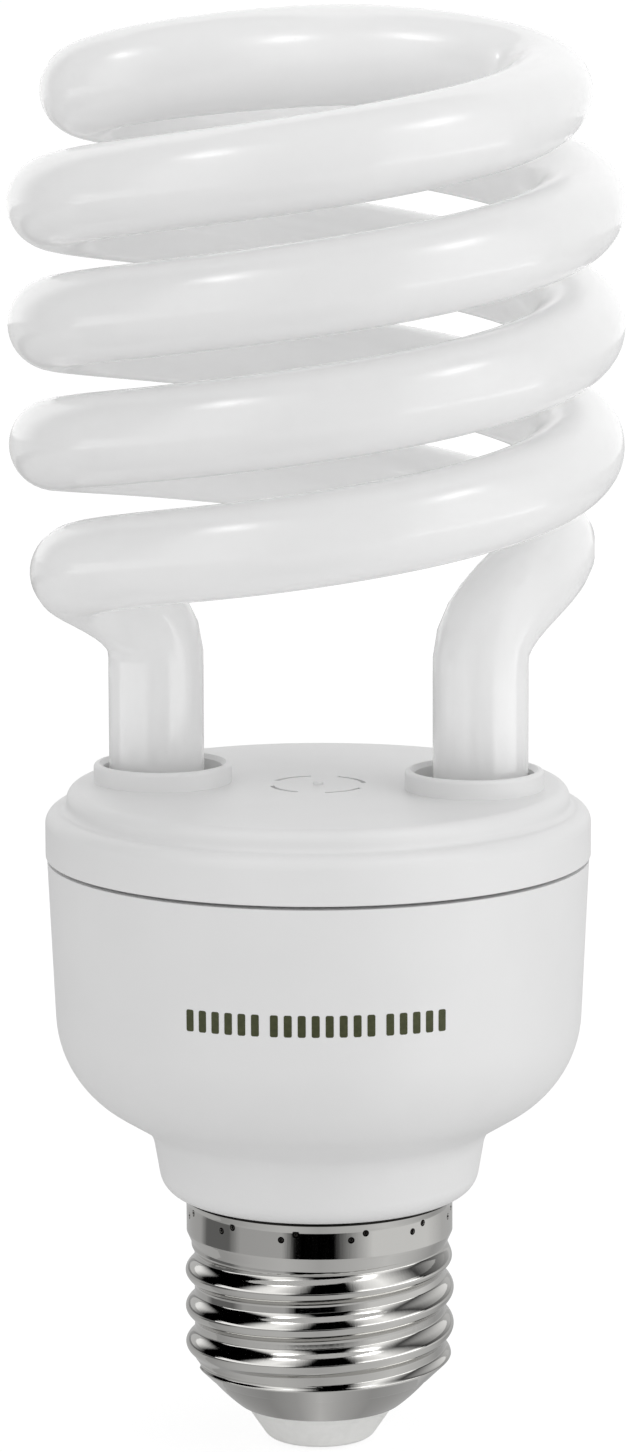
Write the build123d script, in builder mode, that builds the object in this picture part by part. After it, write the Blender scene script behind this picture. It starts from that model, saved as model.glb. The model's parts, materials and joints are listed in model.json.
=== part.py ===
from build123d import *

import os
from math import cos, pi, radians, sin, sqrt

os.makedirs("parts", exist_ok=True)

# Compact fluorescent lamp with a spiral tube and a screw cap, in millimetres.
# Z runs up the lamp's axis, X through the two legs of the tube, and the origin is the middle of the
# contact's underside.

# Shared fits
fit_clearance = 0.1

# Centre contact and insulator
contact_radius = 3.4
contact_thickness = 0.6
contact_proud = 0.2
contact_edge = 0.2
rivet_radius = 1.1
insulator_tip_radius = 5.1
insulator_tip_rounding = 1.2
insulator_tip_height = 3.15
insulator_seat_height = 3.0

# Screw shell
shell_sheet = 0.4
mouth_radius = 7.5
mouth_bulge_radius = 18.0
mouth_cone_height = 5.1
thread_root_radius = 12.25
thread_crest_radius = 13.13
thread_pitch = 3.629
thread_turns = 3.3
thread_start_lift = -0.6
thread_ridge_width = 2.7
thread_ridge_foot = 0.15
thread_zone_height = 10.95
thread_fade = 2.2
thread_run_out = 0.9
skirt_radius = 13.0
skirt_height = 5.5
skirt_shoulder = 1.7
rim_lip = 0.3
rim_flare = 0.3
rim_flare_height = 0.6

# Lower housing
housing_wall = 1.6
neck_radius = 15.2
neck_taper = 1.1
neck_height = 6.4
neck_edge_rounding = 2.5
neck_bowl_rounding = 3.0
bowl_rise = 5.5
bowl_radius = 25.25
bowl_rounding = 11.0
cup_flare = 0.95
cup_height = 21.25
spigot_length = 5.0
spigot_clearance = 0.15
spigot_corner = 0.2
rib_count = 6
rib_width = 1.2
rib_depth = 2.0
rib_height = 10.0

# Top cover
seam_gap = 0.35
cover_overhang = 0.15
cover_skirt_height = 4.65
cover_shoulder_rounding = 1.9
cover_ledge = 2.05
plateau_height = 2.1
plateau_rounding = 1.2
cover_plate = 1.5
tongue_wall = 1.4
tongue_length = 4.0
tongue_clearance = 0.15
collar_inset = 9.1
collar_radius = 6.7
collar_bore_radius = 5.75
collar_height = 1.85
collar_edge = 0.4
slot_ring_radius = 4.5
slot_width = 0.45
slot_arc = 56.0
slot_count = 4
gate_mark_radius = 0.5
gate_mark_height = 0.3

# Spiral tube
tube_diameter = 8.8
leg_diameter = 9.2
bridge_diameter = 9.6
spiral_radius = 25.0
spiral_pitch = 23.05
spiral_stand_off = 21.0
spiral_full_angle = 540.0
closing_inset = 3.1
bridge_rise = 3.6
bridge_slant = 44.0
bridge_end_share = 0.5
bridge_middle_share = 0.6
leg_set_out = 0.6
leg_rise = 12.45
leg_bend_lift = 8.5
leg_bend_reach = 25.0
leg_bend_angle = 70.0
leg_depth = 5.0
leg_end_rounding = 2.0
cement_flange = 1.4
cement_flange_radius = 7.4
cement_recess = 0.6

# Ballast board and what it carries
board_thickness = 1.6
board_clearance = 0.3
lead_wire_radius = 0.25
lead_spacing = 3.0
pin_width = 1.0
pin_height = 3.4
electrolytic_radius = 5.0
electrolytic_length = 16.0
electrolytic_edge = 0.8
electrolytic_groove_level = 2.0
electrolytic_place = (8.5, 8.0)
choke_place = (-9.0, 7.0)
core_length = 14.0
core_width = 13.0
core_thickness = 5.0
core_yoke = 2.0
core_leg = 4.0
core_outer_leg = 1.9
bobbin_wall = 0.6
bobbin_flange = 0.8
bobbin_height = 10.4
winding_inset = 0.5
winding_rounding = 1.0
toroid_place = (9.5, -8.0)
toroid_outer_radius = 5.0
toroid_inner_radius = 2.5
toroid_thickness = 4.6
toroid_wire = 0.4
toroid_winding_arc = 70.0
toroid_winding_count = 3
transistor_place = (-12.0, -8.0)
transistor_spacing = 6.0
transistor_width = 7.8
transistor_thickness = 2.8
transistor_height = 11.0
transistor_edge = 0.5
transistor_leg_length = 2.0
transistor_leg_spacing = 2.3
transistor_leg_width = 0.7
resonant_place = (-1.5, -15.5)
resonant_size = (10.0, 4.5, 8.5)
filter_place = (0.0, 17.5)
filter_size = (7.0, 4.0, 7.0)
film_rounding = 1.2
diode_size = (5.2, 1.35)
diode_places = ((0.0, 4.0), (0.0, 8.0), (0.0, 12.0), (0.0, 16.0))
resistor_size = (6.3, 1.15)
resistor_places = ((0.0, -4.0), (0.0, -7.5), (0.0, -11.0))
fusible_size = (9.0, 1.9)
fusible_places = ((0.0, -16.0),)
axial_lead_radius = 0.35
axial_lead_reach = 2.4
axial_lead_bend = 0.8
base_wire_radius = 0.6
neutral_offset = 9.0
neutral_bend_radius = 1.5
neutral_drop = 0.2

# Heights, worked out from the contact upwards
insulator_bottom = contact_proud
mouth_level = insulator_bottom + insulator_tip_height
thread_bottom = mouth_level + mouth_cone_height
skirt_level = thread_bottom + thread_zone_height
rim_level = skirt_level + skirt_height
bowl_level = rim_level + neck_height
cup_level = bowl_level + bowl_rise
cup_top = cup_level + cup_height
cover_bottom = cup_top + seam_gap
cover_step = cover_bottom + cover_skirt_height
cover_top = cover_step + plateau_height
plate_underside = cover_top - cover_plate
board_top = cover_bottom - tongue_length
board_underside = board_top - board_thickness
leg_end = plate_underside - leg_depth
pin_top = board_top + pin_height
stem_top = insulator_bottom + insulator_tip_height + insulator_seat_height + fit_clearance
spiral_start = cover_top + spiral_stand_off

# Radii that follow from the walls
tube_radius = tube_diameter / 2
leg_radius = leg_diameter / 2
bridge_radius = bridge_diameter / 2
cup_radius = bowl_radius + cup_flare
cover_radius = cup_radius + cover_overhang
plateau_radius = cover_radius - cover_ledge
collar_offset = plateau_radius - collar_inset
leg_offset = collar_offset + leg_set_out
spigot_radius = thread_root_radius - shell_sheet - spigot_clearance
shell_bore = thread_root_radius - shell_sheet


def cup_radius_at(level):
    """Outer radius of the housing's tapered wall at a height."""
    share = (level - cup_level) / cup_height
    return bowl_radius + (cup_radius - bowl_radius) * share


tongue_radius = cup_radius_at(board_top) - housing_wall - tongue_clearance
tongue_bore = tongue_radius - tongue_wall
board_radius = cup_radius_at(board_underside) - housing_wall - board_clearance


def strand_point(angle):
    """Centre line of a full-size strand, at an angle counted in degrees from above its leg."""
    turn = radians(angle)
    level = spiral_start + spiral_pitch * angle / 360
    return Vector(spiral_radius * cos(turn), spiral_radius * sin(turn), level)


def strand_direction(angle):
    """Direction in which a full-size strand climbs at an angle."""
    turn = radians(angle)
    return Vector(-sin(turn), cos(turn), spiral_pitch / (2 * pi * spiral_radius)).normalized()


# One strand: a straight leg, a bend, a helix with a half turn that draws in, half of the top bridge.
# The tube keeps its drawn size in the coil and is a little fuller in the legs and in the bridge.
leg_top = cover_top + leg_rise
bend_end = strand_point(leg_bend_angle)
bend_direction = strand_direction(leg_bend_angle)
closing_radius = spiral_radius - closing_inset / 2
closing_pitch = spiral_pitch * closing_radius / spiral_radius
closing_level = spiral_start + spiral_pitch * spiral_full_angle / 360
bridge_start = Vector(spiral_radius - closing_inset, 0, closing_level + closing_pitch / 2)
bridge_middle = Vector(0, 0, bridge_start.Z + bridge_rise)
bridge_direction = Vector(cos(radians(bridge_slant)), sin(radians(bridge_slant)), 0)

with BuildLine() as bend_path:
    bend_start = Vector(leg_offset, 0, leg_top)
    bend_aim = bend_end - bend_direction * leg_bend_reach
    Bezier(bend_start, bend_start + Vector(0, 0, leg_bend_lift), bend_aim, bend_end)

with BuildLine() as coil_path:
    full_turns = Helix(
        spiral_pitch,
        closing_level - bend_end.Z,
        spiral_radius,
        center=(0, 0, bend_end.Z),
        mode=Mode.PRIVATE,
    )
    add(full_turns.rotate(Axis.Z, leg_bend_angle))
    closing_turn = Helix(
        closing_pitch,
        closing_pitch / 2,
        closing_radius,
        center=(closing_inset / 2, 0, closing_level),
        mode=Mode.PRIVATE,
    )
    add(closing_turn.rotate(Axis.Z, 180))

with BuildLine() as bridge_path:
    start_aim = bridge_start + strand_direction(0) * (bridge_start.X * bridge_end_share)
    middle_aim = bridge_middle + bridge_direction * (bridge_start.X * bridge_middle_share)
    Bezier(bridge_start, start_aim, middle_aim, bridge_middle)

with BuildPart() as strand:
    with BuildSketch(Plane.XY.offset(leg_end)):
        with Locations((leg_offset, 0)):
            Circle(leg_radius)
    extrude(amount=leg_top - leg_end)
    fillet(strand.edges().group_by(Axis.Z)[0], leg_end_rounding)
    with BuildSketch(Plane((leg_offset, 0, leg_top))):
        Circle(leg_radius)
    with BuildSketch(Plane(bend_end, z_dir=bend_direction)):
        Circle(tube_radius)
    sweep(path=bend_path.wire(), multisection=True)
    with BuildSketch(Plane(bend_end, z_dir=bend_direction)):
        Circle(tube_radius)
    sweep(path=coil_path.wire())
    with BuildSketch(Plane(bridge_start, z_dir=strand_direction(0))):
        Circle(tube_radius)
    with BuildSketch(Plane(bridge_middle, z_dir=-bridge_direction)):
        Circle(bridge_radius)
    sweep(path=bridge_path.wire(), multisection=True)

with BuildPart() as spiral_tube:
    with PolarLocations(0, 2):
        add(strand.part)
spiral_tube.part.label = "spiral_tube"
export_step(spiral_tube.part, "parts/spiral_tube.step")

# Cement that holds each leg in its collar, from a flange under the plate up into the bore
with BuildPart() as tube_cement:
    with BuildSketch(Plane.XY.offset(plate_underside - cement_flange)):
        with PolarLocations(collar_offset, 2):
            Circle(cement_flange_radius)
    extrude(amount=cement_flange)
    with BuildSketch(Plane.XY.offset(plate_underside)):
        with PolarLocations(collar_offset, 2):
            Circle(collar_bore_radius - fit_clearance)
    extrude(amount=cover_plate - cement_recess)
    with BuildSketch(Plane.XY.offset(plate_underside - cement_flange)):
        with PolarLocations(leg_offset, 2):
            Circle(leg_radius + fit_clearance)
    extrude(amount=cement_flange + cover_plate, mode=Mode.SUBTRACT)
tube_cement.part.label = "tube_cement"
export_step(tube_cement.part, "parts/tube_cement.step")

# Top cover: stepped plate with a tongue that enters the housing and presses on the board
with BuildPart() as top_cover:
    with BuildSketch(Plane.XZ):
        with BuildLine():
            Polyline(
                (0, plate_underside),
                (0, cover_top),
                (plateau_radius, cover_top),
                (plateau_radius, cover_step),
                (cover_radius, cover_step),
                (cover_radius, cover_bottom),
                (tongue_radius, cover_bottom),
                (tongue_radius, board_top),
                (tongue_bore, board_top),
                (tongue_bore, plate_underside),
                close=True,
            )
        make_face()
    revolve(axis=Axis.Z)
    rings = top_cover.edges().filter_by(GeomType.CIRCLE)
    plateau_edge = rings.filter_by(lambda e: abs(e.radius - plateau_radius) < 1e-6).sort_by(Axis.Z)[-1]
    fillet(plateau_edge, plateau_rounding)
    rings = top_cover.edges().filter_by(GeomType.CIRCLE)
    shoulder_edge = rings.filter_by(lambda e: abs(e.radius - cover_radius) < 1e-6).sort_by(Axis.Z)[-1]
    fillet(shoulder_edge, cover_shoulder_rounding)
    with BuildSketch(Plane.XY.offset(plate_underside)):
        with PolarLocations(collar_offset, 2):
            Circle(collar_radius)
    extrude(amount=cover_plate + collar_height)
    chamfer(top_cover.edges().group_by(Axis.Z)[-1], collar_edge)
    with BuildSketch(Plane.XY.offset(plate_underside)):
        with PolarLocations(collar_offset, 2):
            Circle(collar_bore_radius)
    extrude(amount=cover_plate + collar_height, mode=Mode.SUBTRACT)
    with BuildSketch(Plane.XY.offset(plate_underside)):
        with PolarLocations(0, slot_count, start_angle=180 / slot_count):
            slot_line = CenterArc((0, 0), slot_ring_radius, -slot_arc / 2, slot_arc, mode=Mode.PRIVATE)
            SlotArc(slot_line, slot_width)
    extrude(amount=cover_plate, mode=Mode.SUBTRACT)
    with BuildSketch(Plane.XY.offset(cover_top)):
        Circle(gate_mark_radius)
    extrude(amount=gate_mark_height)
top_cover.part.label = "top_cover"
export_step(top_cover.part, "parts/top_cover.step")

# Lower housing: cup, bowl and neck of one wall, turned in at the neck to a spigot for the cap
with BuildPart() as lower_housing:
    with BuildSketch(Plane.XZ):
        with BuildLine():
            FilletPolyline(
                (cup_radius, cup_top),
                (bowl_radius, cup_level),
                (neck_radius + neck_taper, bowl_level),
                (neck_radius, rim_level),
                (spigot_radius, rim_level),
                (spigot_radius, rim_level - spigot_length),
                radius=[bowl_rounding, neck_bowl_rounding, neck_edge_rounding, spigot_corner],
            )
            offset(amount=housing_wall, side=Side.RIGHT)
        make_face()
    revolve(axis=Axis.Z)
    rib_outer = cup_radius_at(board_underside - rib_height) - housing_wall / 2
    rib_length = rib_depth + housing_wall / 2
    with BuildSketch(Plane.XY.offset(board_underside)):
        with PolarLocations(rib_outer - rib_length / 2, rib_count):
            Rectangle(rib_length, rib_width)
    extrude(amount=-rib_height)
lower_housing.part.label = "lower_housing"
export_step(lower_housing.part, "parts/lower_housing.step")

# Screw shell: one sheet from the rim down to the mouth, with the rolled thread standing on its root
thread_first_level = thread_bottom + thread_start_lift
thread_end_level = skirt_level + skirt_shoulder
thread_rise = thread_pitch * thread_turns
with BuildPart() as thread_ridge:
    with BuildLine() as thread_path:
        Helix(thread_pitch, thread_rise, thread_root_radius, center=(0, 0, thread_first_level))
    with BuildSketch(Plane.XZ):
        with BuildLine():
            ridge_foot = thread_root_radius - thread_ridge_foot
            foot_line = Line(
                (ridge_foot, thread_first_level + thread_ridge_width / 2),
                (ridge_foot, thread_first_level - thread_ridge_width / 2),
            )
            ThreePointArc(foot_line @ 1, (thread_crest_radius, thread_first_level), foot_line @ 0)
        make_face()
    sweep(path=thread_path.wire(), is_frenet=True)
    with BuildSketch(Plane.XZ):
        with BuildLine():
            Polyline(
                (0, thread_bottom - thread_run_out),
                (shell_bore, thread_bottom - thread_run_out),
                (thread_crest_radius + fit_clearance, thread_bottom + thread_fade),
                (thread_crest_radius + fit_clearance, thread_end_level - thread_run_out - thread_fade),
                (shell_bore, thread_end_level),
                (0, thread_end_level),
                close=True,
            )
        make_face()
    revolve(axis=Axis.Z, mode=Mode.INTERSECT)

with BuildPart() as screw_shell:
    with BuildSketch(Plane.XZ):
        with BuildLine():
            sheet_line = Polyline(
                (skirt_radius + rim_flare, rim_level),
                (skirt_radius + rim_flare, rim_level - rim_lip),
                (skirt_radius, rim_level - rim_lip - rim_flare_height),
                (skirt_radius, skirt_level + skirt_shoulder),
                (thread_root_radius, skirt_level),
                (thread_root_radius, thread_bottom),
            )
            RadiusArc(sheet_line @ 1, (mouth_radius, mouth_level), mouth_bulge_radius)
            offset(amount=shell_sheet, side=Side.RIGHT)
        make_face()
    revolve(axis=Axis.Z)
    add(thread_ridge.part)
screw_shell.part.label = "screw_shell"
export_step(screw_shell.part, "parts/screw_shell.step")

# Insulator: seated inside the shell's round mouth, its tip reaching out to the contact
flank = RadiusArc(
    (thread_root_radius, thread_bottom), (mouth_radius, mouth_level), mouth_bulge_radius, mode=Mode.PRIVATE
)
flank_middle = flank.arc_center
seat_bulge_radius = mouth_bulge_radius - shell_sheet - fit_clearance
seat_low = flank_middle + (flank @ 1 - flank_middle).normalized() * seat_bulge_radius
seat_top = mouth_level + insulator_seat_height
seat_reach = sqrt(seat_bulge_radius**2 - (seat_top - flank_middle.Y) ** 2)
seat_high = Vector(flank_middle.X + seat_reach, seat_top)

with BuildPart() as cap_insulator:
    with BuildSketch(Plane.XZ):
        with BuildLine():
            tip_line = FilletPolyline(
                (0, insulator_bottom),
                (insulator_tip_radius, insulator_bottom),
                seat_low,
                radius=insulator_tip_rounding,
            )
            RadiusArc(tip_line @ 1, seat_high, -seat_bulge_radius)
            Polyline(seat_high, (0, seat_top), (0, insulator_bottom))
        make_face()
    revolve(axis=Axis.Z)
    with BuildSketch(Plane.XY):
        Circle(contact_radius + fit_clearance)
    extrude(amount=contact_thickness, mode=Mode.SUBTRACT)
    with BuildSketch(Plane.XY):
        Circle(rivet_radius + fit_clearance)
    extrude(amount=seat_top, mode=Mode.SUBTRACT)
cap_insulator.part.label = "cap_insulator"
export_step(cap_insulator.part, "parts/cap_insulator.step")

# Centre contact: a disc let into the insulator, with the rivet that the live wire is soldered to
with BuildPart() as centre_contact:
    with BuildSketch(Plane.XY):
        Circle(contact_radius)
    extrude(amount=contact_thickness)
    chamfer(centre_contact.edges().group_by(Axis.Z)[0], contact_edge)
    with BuildSketch(Plane.XY):
        Circle(rivet_radius)
    extrude(amount=stem_top)
centre_contact.part.label = "centre_contact"
export_step(centre_contact.part, "parts/centre_contact.step")

# Ballast board, lying on the housing's ribs under the cover's tongue
with BuildPart() as ballast_board:
    with BuildSketch(Plane.XY.offset(board_underside)):
        Circle(board_radius)
    extrude(amount=board_thickness)
ballast_board.part.label = "ballast_board"
export_step(ballast_board.part, "parts/ballast_board.step")

# Posts on the board under each leg, and the tube's wires that end on them
with BuildPart() as wrap_pins:
    with BuildSketch(Plane.XY.offset(board_top)):
        with GridLocations(2 * leg_offset, lead_spacing, 2, 2):
            Rectangle(pin_width, pin_width)
    extrude(amount=pin_height)
wrap_pins.part.label = "wrap_pins"
export_step(wrap_pins.part, "parts/wrap_pins.step")

with BuildPart() as tube_leads:
    with BuildSketch(Plane.XY.offset(pin_top)):
        with GridLocations(2 * leg_offset, lead_spacing, 2, 2):
            Circle(lead_wire_radius)
    extrude(amount=leg_end - pin_top)
tube_leads.part.label = "tube_leads"
export_step(tube_leads.part, "parts/tube_leads.step")

# Smoothing capacitor: a can hanging from the board, with its rolled groove at the sealed end
with BuildPart() as electrolytic_capacitor:
    with BuildSketch(Plane.XY.offset(board_underside)):
        with Locations(electrolytic_place):
            Circle(electrolytic_radius)
    extrude(amount=-electrolytic_length)
    fillet(electrolytic_capacitor.edges().group_by(Axis.Z)[0], electrolytic_edge)
    with BuildSketch(Plane.XY.offset(board_underside - electrolytic_groove_level)):
        with Locations(electrolytic_place):
            Circle(electrolytic_radius)
            Circle(electrolytic_radius - electrolytic_edge / 2, mode=Mode.SUBTRACT)
    extrude(amount=-electrolytic_edge, mode=Mode.SUBTRACT)
electrolytic_capacitor.part.label = "electrolytic_capacitor"
export_step(electrolytic_capacitor.part, "parts/electrolytic_capacitor.step")

# Choke: a flat ferrite core with two windows, a bobbin on its middle leg and the winding on that
choke_level = board_underside - bobbin_height / 2
choke_plane = Plane.XY.offset(choke_level).move(Location((*choke_place, 0)))
core_window_length = core_length - 2 * core_yoke
core_window_width = (core_width - core_leg) / 2 - core_outer_leg
bobbin_length = core_window_length - 2 * fit_clearance
bobbin_bore_width = core_leg + 2 * fit_clearance
bobbin_bore_height = core_thickness + 2 * fit_clearance
bobbin_width = core_leg + 2 * (core_window_width - fit_clearance)
winding_length = bobbin_length - 2 * bobbin_flange - 2 * fit_clearance

with BuildPart() as choke_core:
    with BuildSketch(choke_plane):
        Rectangle(core_length, core_width)
        with GridLocations(0, core_leg + core_window_width, 1, 2):
            Rectangle(core_window_length, core_window_width, mode=Mode.SUBTRACT)
    extrude(amount=core_thickness / 2, both=True)
choke_core.part.label = "choke_core"
export_step(choke_core.part, "parts/choke_core.step")

choke_section = Plane(origin=choke_plane.origin, x_dir=(0, 1, 0), z_dir=(1, 0, 0))
with BuildPart() as choke_bobbin:
    with BuildSketch(choke_section):
        Rectangle(bobbin_bore_width + 2 * bobbin_wall, bobbin_bore_height + 2 * bobbin_wall)
    extrude(amount=bobbin_length / 2, both=True)
    for end in (-1, 1):
        with BuildSketch(choke_section.offset(end * (bobbin_length - bobbin_flange) / 2)):
            Rectangle(bobbin_width, bobbin_height)
        extrude(amount=bobbin_flange / 2, both=True)
    with BuildSketch(choke_section):
        Rectangle(bobbin_bore_width, bobbin_bore_height)
    extrude(amount=bobbin_length / 2, both=True, mode=Mode.SUBTRACT)
choke_bobbin.part.label = "choke_bobbin"
export_step(choke_bobbin.part, "parts/choke_bobbin.step")

with BuildPart() as choke_winding:
    with BuildSketch(choke_section):
        RectangleRounded(bobbin_width - winding_inset, bobbin_height - winding_inset, winding_rounding)
        Rectangle(
            bobbin_bore_width + 2 * bobbin_wall + 2 * fit_clearance,
            bobbin_bore_height + 2 * bobbin_wall + 2 * fit_clearance,
            mode=Mode.SUBTRACT,
        )
    extrude(amount=winding_length / 2, both=True)
choke_winding.part.label = "choke_winding"
export_step(choke_winding.part, "parts/choke_winding.step")

# Feedback transformer: a ferrite ring lying under the board, with its windings in sectors
toroid_level = board_underside - toroid_wire - fit_clearance - toroid_thickness / 2
toroid_plane = Plane.XY.offset(toroid_level).move(Location((*toroid_place, 0)))
toroid_section = Plane(origin=toroid_plane.origin, x_dir=(1, 0, 0), z_dir=(0, -1, 0))
toroid_axis = Axis(toroid_plane.origin, (0, 0, 1))
toroid_width = toroid_outer_radius - toroid_inner_radius
toroid_middle = (toroid_outer_radius + toroid_inner_radius) / 2

with BuildPart() as drive_toroid:
    with BuildSketch(toroid_plane):
        Circle(toroid_outer_radius)
        Circle(toroid_inner_radius, mode=Mode.SUBTRACT)
    extrude(amount=toroid_thickness / 2, both=True)
drive_toroid.part.label = "drive_toroid"
export_step(drive_toroid.part, "parts/drive_toroid.step")

with BuildPart() as winding_sector:
    with BuildSketch(toroid_section):
        with Locations((toroid_middle, 0)):
            bore_width = toroid_width + 2 * fit_clearance
            bore_height = toroid_thickness + 2 * fit_clearance
            Rectangle(bore_width + 2 * toroid_wire, bore_height + 2 * toroid_wire)
            Rectangle(bore_width, bore_height, mode=Mode.SUBTRACT)
    revolve(axis=toroid_axis, revolution_arc=toroid_winding_arc)

with BuildPart() as toroid_windings:
    for turn in range(toroid_winding_count):
        add(winding_sector.part.rotate(toroid_axis, turn * 360 / toroid_winding_count))
toroid_windings.part.label = "toroid_windings"
export_step(toroid_windings.part, "parts/toroid_windings.step")

# Switching transistors, hanging from the board by their three legs
with BuildPart() as transistors:
    with BuildSketch(Plane.XY.offset(board_underside - transistor_leg_length)):
        with Locations(transistor_place):
            with GridLocations(0, transistor_spacing, 1, 2):
                Rectangle(transistor_width, transistor_thickness)
    extrude(amount=-transistor_height)
    chamfer(transistors.edges().filter_by(Axis.Z), transistor_edge)
    with BuildSketch(Plane.XY.offset(board_underside)):
        with Locations(transistor_place):
            with GridLocations(0, transistor_spacing, 1, 2):
                with GridLocations(transistor_leg_spacing, 0, 3, 1):
                    Rectangle(transistor_leg_width, transistor_leg_width)
    extrude(amount=-transistor_leg_length)
transistors.part.label = "transistors"
export_step(transistors.part, "parts/transistors.step")


def film_capacitor(place, size):
    """Dipped film capacitor: a block with soft corners, flat against the board's underside."""
    length, thickness, height = size
    with BuildPart() as block:
        with BuildSketch(Plane.XY.offset(board_underside)):
            with Locations(place):
                Rectangle(length, thickness)
        extrude(amount=-height)
        fillet(block.edges().filter_by(Axis.Z) + block.edges().group_by(Axis.Z)[0], film_rounding)
    return block.part


resonant_capacitor = film_capacitor(resonant_place, resonant_size)
resonant_capacitor.label = "resonant_capacitor"
export_step(resonant_capacitor, "parts/resonant_capacitor.step")

filter_capacitor = film_capacitor(filter_place, filter_size)
filter_capacitor.label = "filter_capacitor"
export_step(filter_capacitor, "parts/filter_capacitor.step")


def axial_parts(places, size):
    """Diodes or resistors that lie on the board, each with its lead bent down at both ends."""
    length, radius = size
    reach = length / 2 + axial_lead_reach
    axis_level = board_top + radius + fit_clearance / 2
    with BuildPart() as one:
        with BuildLine() as lead_path:
            FilletPolyline(
                (-reach, 0, board_top),
                (-reach, 0, axis_level),
                (reach, 0, axis_level),
                (reach, 0, board_top),
                radius=axial_lead_bend,
            )
        with BuildSketch(Plane.XY.offset(board_top)):
            with Locations((-reach, 0)):
                Circle(axial_lead_radius)
        sweep(path=lead_path.wire())
        with BuildSketch(Plane.YZ):
            with Locations((0, axis_level)):
                Circle(radius)
        extrude(amount=length / 2, both=True)
    with BuildPart() as group:
        with Locations(*places):
            add(one.part)
    return group.part


rectifier_diodes = axial_parts(diode_places, diode_size)
rectifier_diodes.label = "rectifier_diodes"
export_step(rectifier_diodes, "parts/rectifier_diodes.step")

resistors = axial_parts(resistor_places, resistor_size)
resistors.label = "resistors"
export_step(resistors, "parts/resistors.step")

fusible_resistor = axial_parts(fusible_places, fusible_size)
fusible_resistor.label = "fusible_resistor"
export_step(fusible_resistor, "parts/fusible_resistor.step")

# Wires from the board to the cap: one down the axis to the rivet, one out to the shell's wall
with BuildPart() as live_lead:
    with BuildSketch(Plane.XY.offset(stem_top)):
        Circle(base_wire_radius)
    extrude(amount=board_underside - stem_top)
live_lead.part.label = "live_lead"
export_step(live_lead.part, "parts/live_lead.step")

neutral_level = rim_level - spigot_length - base_wire_radius - neutral_drop
with BuildPart() as neutral_lead:
    with BuildLine() as neutral_path:
        FilletPolyline(
            (0, -neutral_offset, board_underside),
            (0, -neutral_offset, neutral_level),
            (0, -shell_bore + fit_clearance, neutral_level),
            radius=neutral_bend_radius,
        )
    with BuildSketch(Plane.XY.offset(board_underside)):
        with Locations((0, -neutral_offset)):
            Circle(base_wire_radius)
    sweep(path=neutral_path.wire())
neutral_lead.part.label = "neutral_lead"
export_step(neutral_lead.part, "parts/neutral_lead.step")
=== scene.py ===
# %% [markdown]
# # A spiral fluorescent bulb, dressed around its CAD frame
# The object is a compact fluorescent bulb: a white glass tube wound into a double spiral, a moulded
# housing in two halves, and a nickel screw cap with a white insulator under it. The CAD model is loaded
# first and never moved. Every visible piece is then modelled again with clean, smooth meshes in the same
# place, and the parts inside the housing keep their CAD meshes and get finishes of their own.

# %% Load the frame
import json
import math

import bpy
from mathutils import Matrix, Vector

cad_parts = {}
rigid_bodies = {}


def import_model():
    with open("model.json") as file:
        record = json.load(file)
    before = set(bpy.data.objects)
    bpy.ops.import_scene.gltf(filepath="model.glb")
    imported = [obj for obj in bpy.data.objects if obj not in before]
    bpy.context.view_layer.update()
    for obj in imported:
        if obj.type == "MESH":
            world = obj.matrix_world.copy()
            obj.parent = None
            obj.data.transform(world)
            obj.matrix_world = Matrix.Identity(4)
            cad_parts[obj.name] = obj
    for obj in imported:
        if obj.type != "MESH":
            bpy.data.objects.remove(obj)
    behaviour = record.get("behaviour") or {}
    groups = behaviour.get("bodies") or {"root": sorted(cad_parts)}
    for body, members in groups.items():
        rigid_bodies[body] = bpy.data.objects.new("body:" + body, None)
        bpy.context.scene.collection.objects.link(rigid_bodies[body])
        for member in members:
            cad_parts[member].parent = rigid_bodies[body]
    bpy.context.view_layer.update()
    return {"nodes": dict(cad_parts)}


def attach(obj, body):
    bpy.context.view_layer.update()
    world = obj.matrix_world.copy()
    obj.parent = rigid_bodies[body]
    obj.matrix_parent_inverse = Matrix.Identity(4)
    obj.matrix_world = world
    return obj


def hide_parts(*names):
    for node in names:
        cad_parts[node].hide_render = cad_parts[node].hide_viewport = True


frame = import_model()
mm = 0.001

# %% [markdown]
# ## Selecting, finishing and placing
# Blender's operators act on whatever is selected, and loading leaves all CAD nodes selected, so each
# step starts by selecting nothing. More habits are worth a helper: a finished mesh has its doubled
# points merged, its faces turned outwards and its smooth shading set by angle, small copies are joined
# into one piece, and a piece is tied to the CAD body in place of the node that it stands for, which is
# hidden.


# %% Helpers for every piece
merge_distance = 0.0005 * mm


def start_clean():
    """Back to object mode with nothing selected."""
    if bpy.context.object and bpy.context.object.mode != "OBJECT":
        bpy.ops.object.mode_set(mode="OBJECT")
    bpy.ops.object.select_all(action="DESELECT")


def pick(piece):
    """Make one piece the only selected and active object."""
    start_clean()
    piece.select_set(True)
    bpy.context.view_layer.objects.active = piece


def add_primitive(operator, name, location=(0, 0, 0), **settings):
    """Add one of Blender's primitives under a name, at the origin if no other place is given."""
    start_clean()
    operator(location=location, **settings)
    bpy.context.object.name = name
    return bpy.context.object


def apply_modifier(piece, kind, **settings):
    """Add a modifier with its settings and apply it at once."""
    pick(piece)
    modifier = piece.modifiers.new(kind.lower(), kind)
    for key, value in settings.items():
        setattr(modifier, key, value)
    bpy.ops.object.modifier_apply(modifier=modifier.name)


def tidy_mesh(piece):
    """Merge doubled points and turn all faces outwards."""
    pick(piece)
    bpy.ops.object.mode_set(mode="EDIT")
    bpy.ops.mesh.select_all(action="SELECT")
    bpy.ops.mesh.remove_doubles(threshold=merge_distance)
    bpy.ops.mesh.normals_make_consistent(inside=False)
    bpy.ops.object.mode_set(mode="OBJECT")


def smooth(piece, angle=35):
    """Smooth shading, kept crisp where faces meet at more than the angle."""
    pick(piece)
    bpy.ops.object.shade_smooth_by_angle(angle=math.radians(angle))


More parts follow.
